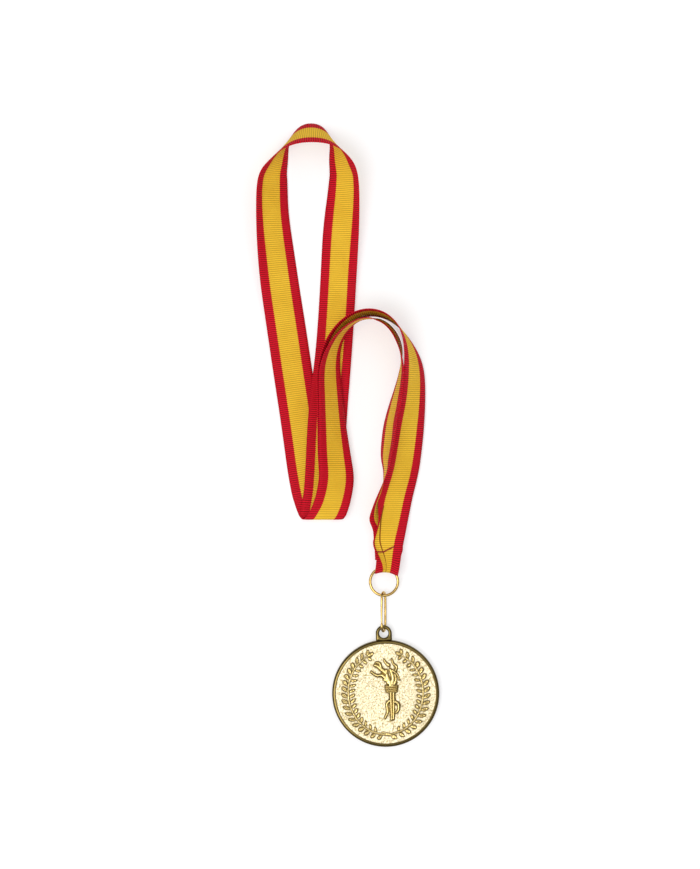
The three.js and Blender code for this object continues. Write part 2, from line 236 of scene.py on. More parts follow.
def catmull_rom(points, places):
    """Points on a smooth curve through an array of points, at fractional indices."""
    last = len(points) - 1
    start = np.clip(np.floor(places).astype(int), 0, last - 1)
    t = (places - start)[:, None]
    a, b = points[np.maximum(start - 1, 0)], points[start]
    c, d = points[start + 1], points[np.minimum(start + 2, last)]
    return 0.5 * (2 * b + (c - a) * t + (2 * a - 5 * b + 4 * c - d) * t**2 + (3 * b - a - 3 * c + d) * t**3)


def cross_sections(node, around):
    """The successive rings of points that a CAD strip or wire was made from, in millimetres."""
    mesh = frame["nodes"][node].data
    raw = np.array([v.co for v in mesh.vertices]) / MM
    points, merged = np.unique(np.round(raw, 3), axis=0, return_inverse=True)
    merged = merged.ravel()
    triangles = [tuple(merged[list(p.vertices)]) for p in mesh.polygons]
    neighbours = [set() for _ in points]
    by_edge = {}
    for index, triangle in enumerate(triangles):
        for k in range(3):
            a, b = triangle[k], triangle[(k + 1) % 3]
            neighbours[a].add(b)
            neighbours[b].add(a)
            by_edge.setdefault(frozenset((a, b)), []).append(index)
    corners = points[np.array(triangles)]
    normals = unit(np.cross(corners[:, 1] - corners[:, 0], corners[:, 2] - corners[:, 0]))
    seen = set()
    for first in range(len(triangles)):
        if first in seen:
            continue
        group, queue = {first}, [first]
        while queue:
            here = queue.pop()
            triangle = triangles[here]
            for k in range(3):
                for other in by_edge[frozenset((triangle[k], triangle[(k + 1) % 3]))]:
                    if other not in group and normals[other] @ normals[first] > 0.9999:
                        group.add(other)
                        queue.append(other)
        seen |= group
        cap = {vertex for index in group for vertex in triangles[index]}
        if len(cap) != around or len(group) != around - 2:
            continue
        layers = walk_layers(cap, neighbours)
        if len(layers) * around == len(points) and all(len(layer) == around for layer in layers):
            return np.array([points[sorted(layer)] for layer in layers])
    raise ValueError(f"{node} is not made of rings of {around} points")


def walk_layers(first_layer, neighbours):
    """Sets of vertices in order: the first one given, then each set of new neighbours of the last."""
    layers, reached = [set(first_layer)], set(first_layer)
    while True:
        following = {n for vertex in layers[-1] for n in neighbours[vertex]} - reached
        if not following:
            return layers
        layers.append(following)
        reached |= following


# ---- material nodes -----------------------------------------------------------------------------

class Nodes:
    """A short way to write a node material."""

    def __init__(self, name):
        self.material = bpy.data.materials.new(name)
        self.material.use_nodes = True
        self.tree = self.material.node_tree
        self.shader = self.tree.nodes["Principled BSDF"]

    def add(self, kind, **settings):
        node = self.tree.nodes.new(kind)
        for key, value in settings.items():
            setattr(node, key, value)
        return node

    def put(self, socket, value):
        if isinstance(value, bpy.types.NodeSocket):
            self.tree.links.new(value, socket)
        else:
            socket.default_value = value

    def math(self, operation, a, b=0.0):
        node = self.add("ShaderNodeMath", operation=operation)
        self.put(node.inputs[0], a)
        self.put(node.inputs[1], b)
        return node.outputs[0]

    def span(self, value, low, high, to_low=0.0, to_high=1.0):
        node = self.add("ShaderNodeMapRange", interpolation_type="SMOOTHSTEP")
        for socket, item in zip(node.inputs, (value, low, high, to_low, to_high)):
            self.put(socket, item)
        return node.outputs[0]

    def mix(self, share, a, b, blend="MIX"):
        node = self.add("ShaderNodeMix", data_type="RGBA", blend_type=blend)
        self.put(node.inputs[0], share)
        self.put(node.inputs[6], a)
        self.put(node.inputs[7], b)
        return node.outputs[2]

    def attribute(self, name):
        return self.add("ShaderNodeAttribute", attribute_name=name).outputs["Fac"]

    def place(self):
        return self.add("ShaderNodeTexCoord").outputs["Object"]

    def noise(self, size_mm, detail=2.0):
        node = self.add("ShaderNodeTexNoise")
        self.put(node.inputs["Vector"], self.place())
        self.put(node.inputs["Scale"], 1 / (size_mm * MM))
        self.put(node.inputs["Detail"], detail)
        return node.outputs["Fac"]

    def bump(self, height, depth_mm, strength=1.0):
        node = self.add("ShaderNodeBump")
        self.put(node.inputs["Height"], height)
        self.put(node.inputs["Distance"], depth_mm * MM)
        self.put(node.inputs["Strength"], strength)
        self.tree.links.new(node.outputs[0], self.shader.inputs["Normal"])

    def set(self, **values):
        for key, value in values.items():
            self.put(self.shader.inputs[key.replace("_", " ")], value)


def ribbon_material():
    """Red, yellow and red grosgrain: cross ribs of fine yarn, with saw toothed stripe edges. Rib valleys get
    painted shade, and the crease a painted shadow line.
    """
    m = Nodes("grosgrain")
    across, along = m.attribute("across"), m.attribute("along")
    half_ribs = m.math("FLOOR", m.math("MULTIPLY", along, 2.0))
    tooth = m.math("MULTIPLY", m.math("PINGPONG", half_ribs, 1.0), STRIPE_TOOTH)
    border = m.math("ADD", YELLOW_SHARE - STRIPE_TOOTH / 2, tooth)
    red_share = m.span(m.math("SUBTRACT", m.math("ABSOLUTE", across), border), -0.006, 0.006)
    patches = m.noise(11.0, 3.0)
    yarn = m.noise(0.28, 3.0)
    red = m.mix(patches, (0.56, 0.003, 0.014, 1), (0.72, 0.007, 0.024, 1))
    yellow = m.mix(patches, (0.72, 0.41, 0.022, 1), (0.90, 0.57, 0.042, 1))
    # Painted shade in the rib valleys: the red goes to a darker red there, and every stripe is multiplied by a
    # factor that is darkest in the valleys and also carries random yarn tone.
    crest = m.math("COSINE", m.math("MULTIPLY", along, 2 * math.pi))
    red = m.mix(m.span(crest, -1.0, 0.6), (0.36, 0.001, 0.009, 1), red)
    shade = m.math("ADD", m.span(crest, -1.0, 0.3, 0.54, 0.95), m.math("MULTIPLY", yarn, 0.14))
    grey = m.add("ShaderNodeCombineColor")
    for socket in grey.inputs[:3]:
        m.put(socket, shade)
    colour = m.mix(1.0, m.mix(red_share, yellow, red), grey.outputs[0], "MULTIPLY")
    # Painted shadow: a dark brown line along the crease, from each point's distance to it.
    from_crease = m.math("ABSOLUTE", m.attribute("crease"))
    colour = m.mix(m.span(from_crease, 0.12, 0.5), (0.20, 0.05, 0.004, 1), colour)
    warp = m.math("SINE", m.math("MULTIPLY", across, 2 * math.pi * WARP_YARNS))
    m.bump(m.math("ADD", m.math("MULTIPLY", warp, 0.35), yarn), 0.05, 0.7)
    m.set(Base_Color=colour, Roughness=m.span(yarn, 0.2, 0.8, 0.62, 0.82))
    m.set(Specular_IOR_Level=0.13)
    return m.material


def medal_material(axis):
    """Pale sand blasted gold field, deeper gold relief with painted shade in its hollows, and a polished rim
    painted dark as a painted reflection.
    """
    m = Nodes("medal_gold")
    along_axis = m.add("ShaderNodeVectorMath", operation="DOT_PRODUCT")
    m.put(along_axis.inputs[0], m.place())
    m.put(along_axis.inputs[1], tuple(axis))
    height = along_axis.outputs["Value"]
    distance = m.add("ShaderNodeVectorMath", operation="LENGTH")
    m.put(distance.inputs[0], m.place())
    squared = m.math("POWER", distance.outputs["Value"], 2.0)
    radius = m.math("SQRT", m.math("SUBTRACT", squared, m.math("POWER", height, 2.0)))
    rim = m.span(radius, (disc_radius - RIM_WIDTH) * MM, (disc_radius - RIM_WIDTH + 0.12) * MM)
    raised = m.span(height, (FIELD_HEIGHT + 0.07) * MM, (FIELD_HEIGHT + 0.22) * MM)
    front = m.span(height, (FIELD_HEIGHT - 0.6) * MM, (FIELD_HEIGHT - 0.4) * MM)
    grain, fine = m.noise(0.75, 3.0), m.noise(0.3, 2.0)
    specks = m.math("ADD", m.math("MULTIPLY", grain, 0.6), m.math("MULTIPLY", fine, 0.4))
    field = m.mix(m.span(specks, 0.36, 0.54), (0.34, 0.26, 0.10, 1), (0.74, 0.65, 0.455, 1))
    relief = m.mix(grain, (0.44, 0.31, 0.09, 1), (0.76, 0.61, 0.28, 1))
    # Painted reflection: the polished rim gets a very dark gold, standing for the dim surroundings it mirrors.
    rim_dark_reflection = m.mix(m.noise(3.0), (0.095, 0.068, 0.019, 1), (0.15, 0.108, 0.036, 1))
    plain_back = m.mix(grain, (0.80, 0.62, 0.29, 1), (0.92, 0.76, 0.42, 1))
    face = m.mix(raised, field, relief)
    # Painted shade: the narrow gaps beside the relief go towards dark brown.
    face = m.mix(m.attribute("hollow_shade"), face, (0.15, 0.10, 0.02, 1))
    colour = m.mix(rim, m.mix(front, plain_back, face), rim_dark_reflection)
    smooth_parts = m.math("MAXIMUM", rim, m.math("MULTIPLY", raised, 0.7))
    rough = m.math("ADD", m.math("MULTIPLY", m.math("SUBTRACT", 1.0, smooth_parts), 0.26), 0.15)
    scratches = m.math("MULTIPLY", m.noise(0.9, 4.0), 0.05)
    fade = m.math("SUBTRACT", 1.0, m.math("MULTIPLY", smooth_parts, 0.93))
    m.bump(m.math("MULTIPLY", specks, fade), 0.16, 0.9)
    m.set(Base_Color=colour, Metallic=1.0, Roughness=m.math("ADD", rough, scratches))
    return m.material


def wire_material(name, dark, light, roughness):
    """Bright plated wire with faint drawing marks."""
    m = Nodes(name)
    tone = m.noise(2.4, 3.0)
    marks = m.noise(0.16, 2.0)
    m.bump(marks, 0.006, 0.5)
    m.set(Base_Color=m.mix(tone, dark, light), Metallic=1.0)
    m.set(Roughness=m.span(marks, 0.2, 0.8, roughness, roughness + 0.08))
    return m.material


def thread_material():
    """Dark red twisted sewing thread."""
    m = Nodes("thread")
    ply = m.noise(0.18, 2.0)
    m.bump(ply, 0.03)
    m.set(Base_Color=m.mix(ply, (0.20, 0.003, 0.005, 1), (0.34, 0.008, 0.010, 1)), Roughness=0.7)
    return m.material


def table_material():
    """Pale, slightly glowing surface, so that shadows on it stay faint."""
    m = Nodes("table")
    m.set(Base_Color=m.mix(m.noise(60.0), (0.50, 0.50, 0.505, 1), (0.52, 0.52, 0.52, 1)), Roughness=0.75)
    m.set(Emission_Color=(1, 1, 1, 1), Emission_Strength=TABLE_GLOW, Specular_IOR_Level=0.2)
    return m.material


# ---- ribbon -------------------------------------------------------------------------------------

def ribbon_spine():
    """Even rows along the strip: arc length, middle point, unit vector across and width."""
    faces, points_across = 2, 3
    rings = cross_sections("ribbon", faces * points_across)
    if rings[0][:, 2].mean() > rings[-1][:, 2].mean():
        rings = rings[::-1]
    lines = []
    across = None
    for ring in rings:
        middle = ring.mean(0)
        direction = np.linalg.svd(ring - middle)[2][0]
        if across is not None and direction @ across < 0:
            direction = -direction
        across = direction
        order = np.argsort((ring - middle) @ direction)
        lines.append(ring[order].reshape(points_across, faces, 3).mean(1))
    lines = np.array(lines)
    steps = np.linalg.norm(np.diff(lines[:, points_across // 2], axis=0), axis=1)
    length = np.concatenate([[0], np.cumsum(steps)])
    rows = int(round(length[-1] / RIB_PITCH)) * ROWS_PER_RIB
    place = np.interp(np.linspace(0, length[-1], rows + 1), length, np.arange(len(lines)))
    left, middle, right = (catmull_rom(lines[:, k], place) for k in range(points_across))
    span = right - left
    return np.linspace(0, length[-1], rows + 1), middle, unit(span), np.linalg.norm(span, axis=1)


def smoothed(lines, spacing, reach):
    """Rows of points averaged with their neighbours along the strip, over about the given reach."""
    half = int(round(2 * reach / spacing))
    weights = np.exp(-0.5 * (np.arange(-half, half + 1) * spacing / reach) ** 2)
    weights /= weights.sum()
    padded = np.concatenate([lines[:1]] * half + [lines] + [lines[-1:]] * half)
    return sum(w * padded[i:i + len(lines)] for i, w in enumerate(weights))


class Strip:
    """The ribbon's middle surface in rows, from its lower end near the ring to the end that wraps it."""

    def __init__(self):
        self.arc, middle, across, self.width = ribbon_spine()
        spacing = self.arc[1]
        loose = smoothstep(*FOLDS_TOP_Y, middle[:, 1])[:, None]
        self.middle = middle + (smoothed(middle, spacing, MIDDLE_SMOOTHING) - middle) * loose
        self.across = unit(across + (smoothed(across, spacing, TWIST_SMOOTHING) - across) * loose)
        self.along = unit(np.gradient(self.middle, axis=0))
        self.y = self.middle[:, 1]
        self.level = self.y - wrap_y
        self.turn = np.argmin(self.y)
        self.upper_half = self.arc > self.arc[-1] / 2
        self.in_tail = self.middle[:, 0] > tail_left_x
        self.outer = self.upper_half & self.in_tail & (self.level < TAIL_TOP)
        self.eastward = np.where(self.across[:, 0] < 0, -1.0, 1.0)
        self.high_side = np.where(self.across[:, 2] > 0, 1.0, -1.0)
        self.offset = ACROSS * self.eastward[:, None] * RIBBON_WIDTH / 2
        self.points = self.make_points()
        self.normal, self.across_points = surface_normals(self.points, np.cross(self.across, self.along))

    def make_points(self):
        """Points [row, column] on the middle surface: the CAD strip's, then shaped stretch by stretch."""
        reach = self.width[:, None] / 2 * ACROSS
        points = self.middle[:, None] + self.across[:, None] * reach[..., None]
        x, z = self.tail_shape()
        shaped = np.stack([x, points[..., 1], z], axis=-1)
        share = np.where(self.outer, smoothstep(*TAIL_SHAPING, self.level), 0)
        points = points + (shaped - points) * share[:, None, None]
        points = points + self.inner_shift() + self.shoulder_shift()
        cupped = np.sqrt(np.maximum(RIBBON_WIDTH - self.width, 0)) * ~self.in_tail
        points[..., 2] += cupped[:, None] * ACROSS**2 * CUPPING
        near_ring = np.where(self.outer, smoothstep(*FOLD_BOWS, self.level), 0)[:, None]
        limit = FOLD_BOW_REACH * ring_radius
        aside = np.clip(points[..., 0] - ring_centre[0], -limit, limit)
        points[..., 1] -= near_ring * FOLD_BOW * (ring_radius - np.sqrt(ring_radius**2 - aside**2))
        return points

    def crease_offset(self):
        """Where the slanting crease crosses each row: at the left stripe's border high up, and near the
        middle at the ring."""
        left_border = -YELLOW_STRIPE / 2
        crossing = smoothstep(*CREASE_CROSSES, self.level[:, None])
        return CREASE_AT_RING + (left_border - CREASE_AT_RING) * crossing

    def crease_distance(self):
        """How far each point is from the crease, or a large number on rows without it, for the material's painted
        shadow line along the crease.
        """
        creased = self.outer & (self.level < CREASE_TOP) & (self.arc < self.arc[self.turn])
        return np.where(creased[:, None], self.offset - self.crease_offset(), UNCREASED)

    def tail_shape(self):
        """Plan places and heights for the outer strand between the small arch and the ring. Its left
        stripe curls up and then turns edge-on, a crease runs slantwise across the yellow stripe, and
        just above the ring that stripe is gathered up."""
        level = self.level[:, None]
        eastward = self.across * self.eastward[:, None]
        right_end = self.middle + eastward * self.width[:, None] / 2
        straight = ring_centre[0] + TAIL_RIGHT + TAIL_SLANT * (level - FOLD_LEVEL)
        right = straight + (right_end[:, :1] - straight) * smoothstep(*RIGHT_EDGE_BENDS, level)
        rise = np.arcsin(np.clip(-eastward[:, 2:], -1, 1))
        curl = rise + STRIPE_CURL * smoothstep(*STRIPE_CURLS, level)
        edge_on = smoothstep(*EDGE_ON_STARTS, level) * smoothstep(*EDGE_ON_ENDS, level)
        gather = smoothstep(*GATHERED, level)
        red_scale, yellow_scale = 1 - RED_GATHER * gather, 1 - YELLOW_GATHER * gather
        border = YELLOW_STRIPE / 2
        yellow = np.clip(self.offset, -border, border)
        right_red = np.maximum(self.offset - border, 0)
        left_red = np.maximum(-border - self.offset, 0)
        flat = (border - yellow) * yellow_scale + (RED_STRIPE - right_red) * red_scale
        shown = np.cos(curl) * (1 - EDGE_ON_SHARE * edge_on)
        x = right - flat * np.cos(rise) - left_red * red_scale * shown
        before_turn = smoothstep(*BEFORE_TURN, self.arc - self.arc[self.turn])
        depth = CREASE_DEPTH * smoothstep(*CREASE_DEEPENS, level) + GATHER_DEPTH * gather
        wings = depth * np.abs(yellow - self.crease_offset()) / border * before_turn[:, None]
        stood = left_red * (np.sin(curl) * (1 - edge_on) + EDGE_ON_HEIGHT * edge_on)
        return x, right_end[:, 2:] + flat * np.sin(rise) + stood + wings

    def inner_shift(self):
        """Moves of the inner strand. At the side of the small arch its upper edge leans inwards, and
        lower down that edge leans outwards and closes the gap to the outer strand."""
        arch_side = smoothstep(*ARCH_SIDE_X, self.middle[:, 0])
        lean = np.where(self.upper_half, 0, arch_side * smoothstep(*LEAN_GROWS, self.level))
        overlap = smoothstep(*OVERLAP_STARTS, self.level) * smoothstep(*OVERLAP_ENDS, self.level)
        overlap = np.where(self.upper_half | (self.middle[:, 0] <= SMALL_ARCH_X), 0, overlap)
        upward = (1 + self.high_side[:, None] * ACROSS) / 2
        shift = lean[:, None] * (FLANK_LEAN * upward - FLANK_SHIFT)
        shift = shift - overlap[:, None] * OVERLAP * upward**4
        inward = unit(np.cross(self.along, UP))
        inward = inward * np.where(inward[:, :1] > 0, -1, 1)
        return inward[:, None] * shift[..., None]

    def shoulder_shift(self):
        """Moves that curl up the higher stripe at the neck loop's shoulders. The strip's edge stays where
        it is in plan, and the rest is pulled towards it."""
        curl = SHOULDER_CURL * smoothstep(*SHOULDER_CURLS_Y, self.y)
        curl = (curl * smoothstep(*SHOULDER_FLATTENS_Y, self.y))[:, None]
        width, high_side = self.width[:, None], self.high_side[:, None]
        stripe = np.maximum(ACROSS * high_side - YELLOW_SHARE, 0) * width / 2
        pulled = (RED_STRIPE * width / RIBBON_WIDTH - stripe) * (1 - np.cos(curl))
        lifted = (stripe * np.sin(curl))[..., None] * UP
        return self.across[:, None] * (high_side * pulled)[..., None] + lifted


def surface_normals(points, rough_normal):
    """Unit normals of a grid of points, on the side of each row's rough normal, and units across."""
    across = unit(np.gradient(points, axis=1))
    along = unit(np.gradient(points, axis=0))
    normal = unit(np.cross(across, along))
    sign = np.sign(np.sum(normal * rough_normal[:, None], axis=-1, keepdims=True))
    return normal * np.where(sign == 0, 1, sign), across


def make_ribbon(strip):
    """The ribbed web: a closed skin round the middle surface, thicker at each rib."""
    rib = 0.5 + 0.5 * np.cos(2 * math.pi * strip.arc / RIB_PITCH)
    edge = np.ones(COLUMNS)
    edge[[0, -1]] = SELVEDGE_THINNING
    half = (WEB_THICKNESS / 2 + RIB_DEPTH * rib)[:, None, None] * edge[None, :, None]
    side = np.zeros(COLUMNS)
    side[0], side[-1] = -1, 1
    spread = strip.across_points * (side[None, :] * (SELVEDGE_DEPTH * rib)[:, None])[..., None]
    top = strip.points + spread + strip.normal * half
    bottom = (strip.points + spread - strip.normal * half)[:, ::-1]
    rows, around = len(strip.arc), 2 * COLUMNS
    shell = np.concatenate([top, bottom], axis=1).reshape(-1, 3)
    faces = ring_faces(rows, around)
    for start, flip in ((0, False), ((rows - 1) * around, True)):
        for j in range(COLUMNS - 1):
            face = [start + j, start + j + 1, start + around - 2 - j, start + around - 1 - j]
            faces.append(face[::-1] if flip else face)
    piece = make_object("neck_ribbon_strip", shell, faces, ribbon_material())
    crease = strip.crease_distance()
    add_attribute(piece, "across", np.tile(np.concatenate([ACROSS, ACROSS[::-1]]), rows))
    add_attribute(piece, "along", np.repeat(strip.arc / RIB_PITCH, around))
    add_attribute(piece, "crease", np.concatenate([crease, crease[:, ::-1]], axis=1))
    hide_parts("ribbon")
    return piece


# ---- sewing -------------------------------------------------------------------------------------

def across_row(vectors, place):
    """The vector at a place from -1 to 1 across one row of the strip."""
    return np.array([np.interp(place, ACROSS, vectors[:, k]) for k in range(3)])


def seam_path(strip, strand, side):
    """A line of stitches on a strand's face: each one stands up in its middle and dips in at its ends."""
    rows = np.where(strand)[0]
    mirror = -1 if strip.eastward[rows[0]] < 0 else 1
    levels = wrap_y + np.array(SEAM_LEVELS)
    count = 10 * STITCHES
    path = []
    for i in range(count + 1):
        share = i / count
        place = np.interp(share, [0, 1], SEAM_ENDS) * mirror
        y = np.interp(share, [0, 0.4, 1], levels)
        row = min(rows, key=lambda r: abs(across_row(strip.points[r], place)[1] - y))
        up = across_row(strip.normal[row], place)
        up = unit(up * np.sign(up[2])) * side
        lift = THREAD_LIFT + STITCH_LIFT * abs(math.sin(math.pi * share * STITCHES)) ** 0.6
        path.append(across_row(strip.points[row], place) + up * lift)
    return np.array(path)


def make_threads(strip):
    """The seam's two threads: the needle's on the top strand and the bobbin's under the lowest one."""
    middle = strip.points[:, COLUMNS // 2]
    low = (middle[:, 0] > tail_left_x) & (middle[:, 1] < wrap_y + SEAM_SEARCH)
    upper = low & strip.upper_half & (np.arange(len(low)) < strip.turn)
    under = low & ~strip.upper_half
    material = thread_material()
    pieces = []
    for name, strand, side in (("needle_thread", upper, 1), ("bobbin_thread", under, -1)):
        path = seam_path(strip, strand, side)
        piece = tube(name + "_stitches", path, THREAD_RADIUS, material, sides=8)
        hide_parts(name)
        pieces.append(piece)
    return pieces


# ---- wire ---------------------------------------------------------------------------------------

def tube(name, path, radius, material, sides=20, closed=False):
    """Round wire along a path. Open ends are rounded."""
    path = np.asarray(path, float)
    radii = np.full(len(path), radius) if np.isscalar(radius) else np.asarray(radius, float)
    if closed:
        along = unit(np.roll(path, -1, axis=0) - np.roll(path, 1, axis=0))
    else:
        along = unit(np.gradient(path, axis=0))
        steps = 5
        angles = np.linspace(0, math.pi / 2, steps + 1)[:-1]
        reach, narrow = np.cos(angles), np.maximum(np.sin(angles), 0.04)
        head = path[0] - along[0] * (reach * radii[0])[:, None]
        foot = (path[-1] + along[-1] * (reach * radii[-1])[:, None])[::-1]
        path = np.concatenate([head, path, foot])
        radii = np.concatenate([narrow * radii[0], radii, (narrow * radii[-1])[::-1]])
        along = np.concatenate([np.tile(along[0], (steps, 1)), along, np.tile(along[-1], (steps, 1))])
    frame_side = np.cross(along[0], [0, 0, 1.0])
    if np.linalg.norm(frame_side) < 0.1:
        frame_side = np.cross(along[0], [1.0, 0, 0])
    rings = []
    for centre, direction, size in zip(path, along, radii):
        frame_side = unit(frame_side - direction * (frame_side @ direction))
        other = np.cross(direction, frame_side)
        turn = np.linspace(0, 2 * math.pi, sides, endpoint=False)[:, None]
        rings.append(centre + size * (np.cos(turn) * frame_side + np.sin(turn) * other))
    faces = [face[::-1] for face in ring_faces(len(path), sides, closed)]
    if not closed:
        faces.append(list(range(sides))[::-1])
        faces.append([(len(path) - 1) * sides + j for j in range(sides)])
    return make_object(name, np.concatenate(rings), faces, material)


def make_ring(material):
    """The closed jump ring, at the place and size of the CAD ring."""
    turn = np.linspace(0, 2 * math.pi, RING_STEPS, endpoint=False)
    path = ring_centre + ring_radius * np.stack([np.cos(turn), np.sin(turn), 0 * turn], axis=1)
    piece = tube("jump_ring_wire", path, ring_wire, material, closed=True)
    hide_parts("ring")
    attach(piece, "jump_ring")


def wire_line(node, samples):
    """The middle line of a CAD wire, as smooth points, and the wire's radius."""
    rings = cross_sections(node, WIRE_SIDES)
    centres = rings.mean(1)
    radius = np.linalg.norm(rings - centres[:, None], axis=2).max()
    return catmull_rom(centres, np.linspace(0, len(centres) - 1, samples)), radius


def make_hook(material):
    """The snap hook's wire and its springy gate, which tapers from its root and bulges a little."""
    body, radius = wire_line("hook_body", HOOK_STEPS)
    gate, _ = wire_line("hook_spring_arm", GATE_STEPS)
    if gate[0, 1] < gate[-1, 1]:
        gate = gate[::-1]
    root = gate[0]
    if np.linalg.norm(body[0] - root) < np.linalg.norm(body[-1] - root):
        body = body[::-1]
    body = np.concatenate([body, [0.75 * root + 0.25 * body[-1]]])
    share = np.linspace(0, 1, len(gate))
    bulge = np.sin(math.pi * share) * GATE_BULGE
    gate = gate + bulge[:, None] * np.array([-1.0, 0, 0.1])
    pieces = (
        ("snap_hook_wire", "hook_body", "snap_hook", body, radius),
        ("snap_hook_gate", "hook_spring_arm", "spring_arm", gate, radius * (1 - GATE_TAPER * share)),
    )
    for name, node, body_name, path, size in pieces:
        piece = tube(name, path, size, material)
        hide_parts(node)
        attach(piece, body_name)


# ---- medal --------------------------------------------------------------------------------------

def stroke_height(x, y, points, start_radius, end_radius, height):
    """A raised, rounded ridge along a line through a few points, tapering to its end."""
    points = np.array(points, float)
    fine = catmull_rom(points, np.linspace(0, len(points) - 1, 8 * len(points)))
    shares = np.linspace(0, 1, len(fine))
    result = np.zeros_like(x)
    for i in range(len(fine) - 1):
        a, b = fine[i], fine[i + 1]
        leg = b - a
        t = np.clip(((x - a[0]) * leg[0] + (y - a[1]) * leg[1]) / max(leg @ leg, 1e-9), 0, 1)
        away = (x - a[0] - t * leg[0]) ** 2 + (y - a[1] - t * leg[1]) ** 2
        share = shares[i] + t * (shares[i + 1] - shares[i])
        radius = start_radius + (end_radius - start_radius) * share
        dome = np.sqrt(np.clip(1 - away / radius**2, 0, 1))
        result = np.maximum(result, height * (0.55 + 0.45 * radius / start_radius) * dome)
    return result


def leaf_height(x, y, root, direction, length, width, height):
    """A drop shaped leaf with a creased middle, rising from its edges."""
    s = (x - root[0]) * math.cos(direction) + (y - root[1]) * math.sin(direction)
    t = -(x - root[0]) * math.sin(direction) + (y - root[1]) * math.cos(direction)
    share = np.clip(s / length, 0, 1)
    half = np.maximum(width / 2 * np.sin(math.pi * share**1.15), 1e-6)
    inside = (s > 0) & (s < length) & (np.abs(t) < half)
    dome = np.clip(1 - (t / half) ** 2, 0, 1) ** 0.5
    crease = 0.5 * np.exp(-((t / 0.2) ** 2)) * smoothstep(0.95, 0.6, share)
    return np.where(inside, height * np.maximum(dome - crease, 0.1), 0)


def stem_point(angle):
    """A point on a branch's stem, at an angle about the disc's centre."""
    radius = STEM_RADIUS + 2.0 * math.sin(angle) ** 2 + 0.3 * math.sin(angle)
    return np.array([radius * math.cos(angle), radius * math.sin(angle)])


def branch(x, y, pairs, foot):
    """A laurel branch on the right, tips up: a stem, pairs of leaves, one leaf at its tip and its foot."""
    lowest, highest = math.radians(-83), math.radians(65)
    quarter = math.pi / 2
    stem_line = [*foot, *(stem_point(a) for a in np.linspace(lowest, highest, 9))]
    result = stroke_height(x, y, stem_line, 0.34, 0.22, 0.34)
    for i in range(pairs):
        share = i / (pairs - 1)
        angle = lowest + (highest - lowest) * share
        root = stem_point(angle)
        outward = root / np.linalg.norm(root)
        size = 1.0 - 0.22 * (2 * share - 1) ** 2
        for side, leaf in ((1, OUTER_LEAF), (-1, INNER_LEAF)):
            if side < 0 and i == 0:
                continue
            start = root + 0.35 * side * outward
            heading = angle + quarter + leaf["lean"]
            length, width = leaf["length"] * size, leaf["width"] * size
            result = np.maximum(result, leaf_height(x, y, start, heading, length, width, LEAF_HEIGHT))
    tip = leaf_height(x, y, stem_point(highest), highest + quarter - 0.05, 3.6, 1.5, LEAF_HEIGHT)
    return np.maximum(result, tip)


def wreath(x, y):
    """Two laurel branches whose stems cross at the bottom."""
    right = branch(x, y, 17, [(-2.2, -18.0), (1.5, -19.1)])
    left = branch(-x, y, 18, [(-3.0, -21.0), (-1.4, -19.4)])
    return np.maximum(right, left)


def torch(x, y):
    """A flaming torch: two rods, a banded collar, a short drape on each side and swept back flames."""
    strokes = [
        ([(2.3, 0.3), (2.3, -6), (2.35, -12.2)], 0.58, 0.5, 0.75),
        ([(3.7, 0.3), (3.5, -6), (3.2, -12.0)], 0.58, 0.5, 0.7),
        ([(1.5, -3.5), (0.3, -5.0), (0.6, -8.5), (-0.7, -11.3)], 0.75, 0.45, 0.6),
        ([(4.3, -4.0), (5.7, -5.2), (5.6, -7.8), (4.6, -9.0)], 0.8, 0.45, 0.6),
        ([(2.4, 4.2), (1.0, 7.6), (0.6, 10.8)], 1.25, 0.7, 0.75),
        ([(3.0, 4.2), (3.6, 7.6), (2.4, 11.2)], 1.2, 0.6, 0.7),
        ([(1.8, 4.4), (0.2, 6.0), (-0.9, 6.5)], 0.75, 0.35, 0.6),
        ([(0.9, 6.2), (-1.4, 8.5), (-4.0, 8.6), (-6.6, 10.4)], 0.95, 0.35, 0.7),
        ([(0.4, 9.6), (-1.9, 11.6), (-3.3, 12.8), (-4.7, 13.4)], 1.0, 0.6, 0.75),
        ([(-1.8, 12.4), (-2.6, 14.3), (-4.1, 14.6)], 0.65, 0.4, 0.65),
        ([(1.9, 13.2), (0.5, 14.3), (-0.5, 16.1)], 0.7, 0.3, 0.6),
        ([(5.0, 10.8), (5.4, 12.4), (3.9, 13.9), (3.3, 16.0)], 0.6, 0.35, 0.65),
        ([(3.4, 10.7), (5.6, 8.8), (6.6, 5.8)], 0.5, 0.25, 0.55),
        ([(4.2, 4.4), (5.0, 6.6), (4.5, 9.0)], 0.7, 0.35, 0.6),
    ]
    result = np.zeros_like(x)
    for points, start_radius, end_radius, height in strokes:
        result = np.maximum(result, stroke_height(x, y, points, start_radius, end_radius, height))
    bands, middle = 4, 2.7
    for i in range(bands):
        level = 0.75 + 0.88 * i
        reach = 2.25 + 0.14 * i
        band = [(middle - reach, level + 0.1), (middle, level - 0.1), (middle + reach, level + 0.05)]
        result = np.maximum(result, stroke_height(x, y, band, 0.42, 0.42, 0.8))
    return result


def sand(rng, shape, amplitude):
    """Grain with no direction, a little larger than one cell."""
    grain = rng.normal(size=shape)
    for axis in (0, 1):
        grain = (np.roll(grain, 1, axis) + 2 * grain + np.roll(grain, -1, axis)) / 4
    return amplitude * grain / grain.std()


